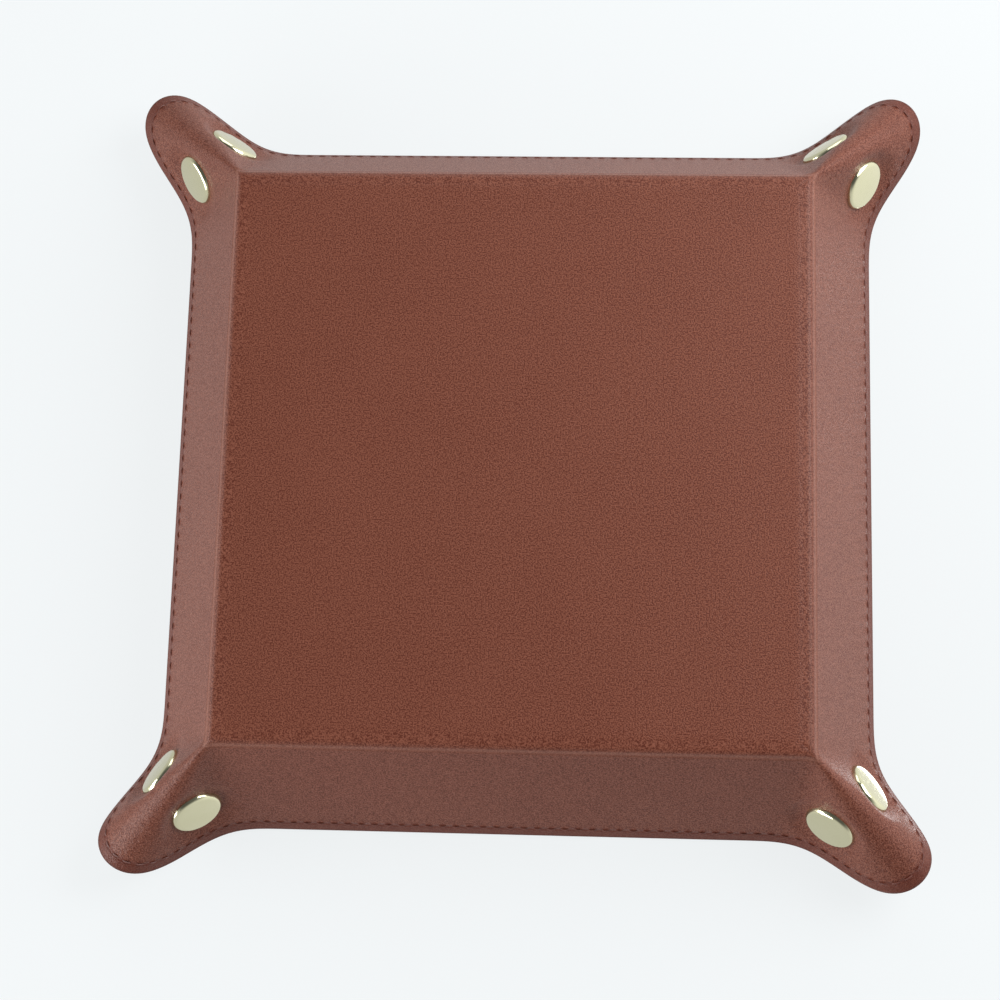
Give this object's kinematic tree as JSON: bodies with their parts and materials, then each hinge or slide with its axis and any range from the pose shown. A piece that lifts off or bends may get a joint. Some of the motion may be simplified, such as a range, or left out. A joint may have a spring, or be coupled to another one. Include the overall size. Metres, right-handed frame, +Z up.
{
  "type": "valet tray",
  "caption": "Square leather catch-all tray with sloping walls and flared corner ears, each ear with a snap fastener; the walls and ears unfold together until the sheet lies flat.",
  "frame": {"origin": "middle of the flat underside, on the surface that the tray stands on", "axes": "+Z up out of the open tray, -Y towards the front wall, +X towards the right wall"},
  "size_m": [0.2346, 0.2346, 0.041],
  "materials": {
    "outer_leather": "smooth reddish brown leather, fine grain, soft sheen",
    "lining_leather": "smooth brown lining leather, satin",
    "board": "grey fibre board, hidden between the leathers",
    "snap_metal": "polished pale gold plating"
  },
  "bodies": {
    "base": {"base_outer_leather": "outer_leather", "base_board": "board", "base_lining": "lining_leather"},
    "right_wall": {"right_wall_outer_leather": "outer_leather", "right_wall_lining": "lining_leather"},
    "back_wall": {"back_wall_outer_leather": "outer_leather", "back_wall_lining": "lining_leather"},
    "left_wall": {"left_wall_outer_leather": "outer_leather", "left_wall_lining": "lining_leather"},
    "front_wall": {"front_wall_outer_leather": "outer_leather", "front_wall_lining": "lining_leather"},
    "back_right_right_flap": {"back_right_right_flap_outer_leather": "outer_leather", "back_right_right_flap_lining": "lining_leather", "back_right_right_snap_cap": "snap_metal", "back_right_right_snap_socket": "snap_metal"},
    "back_right_right_ridge": {"back_right_right_ridge_outer_leather": "outer_leather", "back_right_right_ridge_lining": "lining_leather"},
    "back_right_back_flap": {"back_right_back_flap_outer_leather": "outer_leather", "back_right_back_flap_lining": "lining_leather", "back_right_back_snap_cap": "snap_metal", "back_right_back_snap_stud": "snap_metal"},
    "back_right_back_ridge": {"back_right_back_ridge_outer_leather": "outer_leather", "back_right_back_ridge_lining": "lining_leather"},
    "back_left_back_flap": {"back_left_back_flap_outer_leather": "outer_leather", "back_left_back_flap_lining": "lining_leather", "back_left_back_snap_cap": "snap_metal", "back_left_back_snap_socket": "snap_metal"},
    "back_left_back_ridge": {"back_left_back_ridge_outer_leather": "outer_leather", "back_left_back_ridge_lining": "lining_leather"},
    "back_left_left_flap": {"back_left_left_flap_outer_leather": "outer_leather", "back_left_left_flap_lining": "lining_leather", "back_left_left_snap_cap": "snap_metal", "back_left_left_snap_stud": "snap_metal"},
    "back_left_left_ridge": {"back_left_left_ridge_outer_leather": "outer_leather", "back_left_left_ridge_lining": "lining_leather"},
    "front_left_left_flap": {"front_left_left_flap_outer_leather": "outer_leather", "front_left_left_flap_lining": "lining_leather", "front_left_left_snap_cap": "snap_metal", "front_left_left_snap_socket": "snap_metal"},
    "front_left_left_ridge": {"front_left_left_ridge_outer_leather": "outer_leather", "front_left_left_ridge_lining": "lining_leather"},
    "front_left_front_flap": {"front_left_front_flap_outer_leather": "outer_leather", "front_left_front_flap_lining": "lining_leather", "front_left_front_snap_cap": "snap_metal", "front_left_front_snap_stud": "snap_metal"},
    "front_left_front_ridge": {"front_left_front_ridge_outer_leather": "outer_leather", "front_left_front_ridge_lining": "lining_leather"},
    "front_right_front_flap": {"front_right_front_flap_outer_leather": "outer_leather", "front_right_front_flap_lining": "lining_leather", "front_right_front_snap_cap": "snap_metal", "front_right_front_snap_socket": "snap_metal"},
    "front_right_front_ridge": {"front_right_front_ridge_outer_leather": "outer_leather", "front_right_front_ridge_lining": "lining_leather"},
    "front_right_right_flap": {"front_right_right_flap_outer_leather": "outer_leather", "front_right_right_flap_lining": "lining_leather", "front_right_right_snap_cap": "snap_metal", "front_right_right_snap_stud": "snap_metal"},
    "front_right_right_ridge": {"front_right_right_ridge_outer_leather": "outer_leather", "front_right_right_ridge_lining": "lining_leather"}
  },
  "joints": [
    {"name": "right_wall_fold", "type": "hinge", "parent": "base", "child": "right_wall", "pos_m": [0.08, 0, 0], "axis": [0, 1, 0], "range_deg": [0, 62.5]},
    {"name": "back_wall_fold", "type": "hinge", "parent": "base", "child": "back_wall", "pos_m": [0, 0.08, 0], "axis": [-1, 0, 0], "range_deg": [0, 62.5]},
    {"name": "left_wall_fold", "type": "hinge", "parent": "base", "child": "left_wall", "pos_m": [-0.08, 0, 0], "axis": [0, -1, 0], "range_deg": [0, 62.5]},
    {"name": "front_wall_fold", "type": "hinge", "parent": "base", "child": "front_wall", "pos_m": [0, -0.08, 0], "axis": [1, 0, 0], "range_deg": [0, 62.5]},
    {"name": "back_right_right_flap_fold", "type": "hinge", "parent": "right_wall", "child": "back_right_right_flap", "pos_m": [0.08, 0.08, 0], "axis": [0.4617, 0, 0.887], "range_deg": [0, 32.15]},
    {"name": "back_right_right_ridge_fold", "type": "hinge", "parent": "back_right_right_flap", "child": "back_right_right_ridge", "pos_m": [0.0992, 0.09384, 0.01803], "axis": [-0.6601, -0.5876, -0.468], "range_deg": [0, 31.74]},
    {"name": "back_right_back_flap_fold", "type": "hinge", "parent": "back_wall", "child": "back_right_back_flap", "pos_m": [0.08, 0.08, 0], "axis": [0, -0.4617, -0.887], "range_deg": [0, 32.15]},
    {"name": "back_right_back_ridge_fold", "type": "hinge", "parent": "back_right_back_flap", "child": "back_right_back_ridge", "pos_m": [0.09384, 0.0992, 0.01803], "axis": [0.5876, 0.6601, 0.468], "range_deg": [0, 31.74]},
    {"name": "back_left_back_flap_fold", "type": "hinge", "parent": "back_wall", "child": "back_left_back_flap", "pos_m": [-0.08, 0.08, 0], "axis": [0, 0.4617, 0.887], "range_deg": [0, 32.15]},
    {"name": "back_left_back_ridge_fold", "type": "hinge", "parent": "back_left_back_flap", "child": "back_left_back_ridge", "pos_m": [-0.09384, 0.0992, 0.01803], "axis": [0.5876, -0.6601, -0.468], "range_deg": [0, 31.74]},
    {"name": "back_left_left_flap_fold", "type": "hinge", "parent": "left_wall", "child": "back_left_left_flap", "pos_m": [-0.08, 0.08, 0], "axis": [0.4617, 0, -0.887], "range_deg": [0, 32.15]},
    {"name": "back_left_left_ridge_fold", "type": "hinge", "parent": "back_left_left_flap", "child": "back_left_left_ridge", "pos_m": [-0.0992, 0.09384, 0.01803], "axis": [-0.6601, 0.5876, 0.468], "range_deg": [0, 31.74]},
    {"name": "front_left_left_flap_fold", "type": "hinge", "parent": "left_wall", "child": "front_left_left_flap", "pos_m": [-0.08, -0.08, 0], "axis": [-0.4617, 0, 0.887], "range_deg": [0, 32.15]},
    {"name": "front_left_left_ridge_fold", "type": "hinge", "parent": "front_left_left_flap", "child": "front_left_left_ridge", "pos_m": [-0.0992, -0.09384, 0.01803], "axis": [0.6601, 0.5876, -0.468], "range_deg": [0, 31.74]},
    {"name": "front_left_front_flap_fold", "type": "hinge", "parent": "front_wall", "child": "front_left_front_flap", "pos_m": [-0.08, -0.08, 0], "axis": [0, 0.4617, -0.887], "range_deg": [0, 32.15]},
    {"name": "front_left_front_ridge_fold", "type": "hinge", "parent": "front_left_front_flap", "child": "front_left_front_ridge", "pos_m": [-0.09384, -0.0992, 0.01803], "axis": [-0.5876, -0.6601, 0.468], "range_deg": [0, 31.74]},
    {"name": "front_right_front_flap_fold", "type": "hinge", "parent": "front_wall", "child": "front_right_front_flap", "pos_m": [0.08, -0.08, 0], "axis": [0, -0.4617, 0.887], "range_deg": [0, 32.15]},
    {"name": "front_right_front_ridge_fold", "type": "hinge", "parent": "front_right_front_flap", "child": "front_right_front_ridge", "pos_m": [0.09384, -0.0992, 0.01803], "axis": [-0.5876, 0.6601, -0.468], "range_deg": [0, 31.74]},
    {"name": "front_right_right_flap_fold", "type": "hinge", "parent": "right_wall", "child": "front_right_right_flap", "pos_m": [0.08, -0.08, 0], "axis": [-0.4617, 0, -0.887], "range_deg": [0, 32.15]},
    {"name": "front_right_right_ridge_fold", "type": "hinge", "parent": "front_right_right_flap", "child": "front_right_right_ridge", "pos_m": [0.0992, -0.09384, 0.01803], "axis": [0.6601, -0.5876, 0.468], "range_deg": [0, 31.74]}
  ],
  "couplings": [
    {"joint": "right_wall_fold", "follows": "front_wall_fold", "ratio": 1},
    {"joint": "back_wall_fold", "follows": "front_wall_fold", "ratio": 1},
    {"joint": "left_wall_fold", "follows": "front_wall_fold", "ratio": 1},
    {"joint": "back_right_right_flap_fold", "follows": "front_wall_fold", "ratio": 0.51446},
    {"joint": "back_right_right_ridge_fold", "follows": "front_wall_fold", "ratio": 0.50787},
    {"joint": "back_right_back_flap_fold", "follows": "front_wall_fold", "ratio": 0.51446},
    {"joint": "back_right_back_ridge_fold", "follows": "front_wall_fold", "ratio": 0.50787},
    {"joint": "back_left_back_flap_fold", "follows": "front_wall_fold", "ratio": 0.51446},
    {"joint": "back_left_back_ridge_fold", "follows": "front_wall_fold", "ratio": 0.50787},
    {"joint": "back_left_left_flap_fold", "follows": "front_wall_fold", "ratio": 0.51446},
    {"joint": "back_left_left_ridge_fold", "follows": "front_wall_fold", "ratio": 0.50787},
    {"joint": "front_left_left_flap_fold", "follows": "front_wall_fold", "ratio": 0.51446},
    {"joint": "front_left_left_ridge_fold", "follows": "front_wall_fold", "ratio": 0.50787},
    {"joint": "front_left_front_flap_fold", "follows": "front_wall_fold", "ratio": 0.51446},
    {"joint": "front_left_front_ridge_fold", "follows": "front_wall_fold", "ratio": 0.50787},
    {"joint": "front_right_front_flap_fold", "follows": "front_wall_fold", "ratio": 0.51446},
    {"joint": "front_right_front_ridge_fold", "follows": "front_wall_fold", "ratio": 0.50787},
    {"joint": "front_right_right_flap_fold", "follows": "front_wall_fold", "ratio": 0.51446},
    {"joint": "front_right_right_ridge_fold", "follows": "front_wall_fold", "ratio": 0.50787}
  ]
}
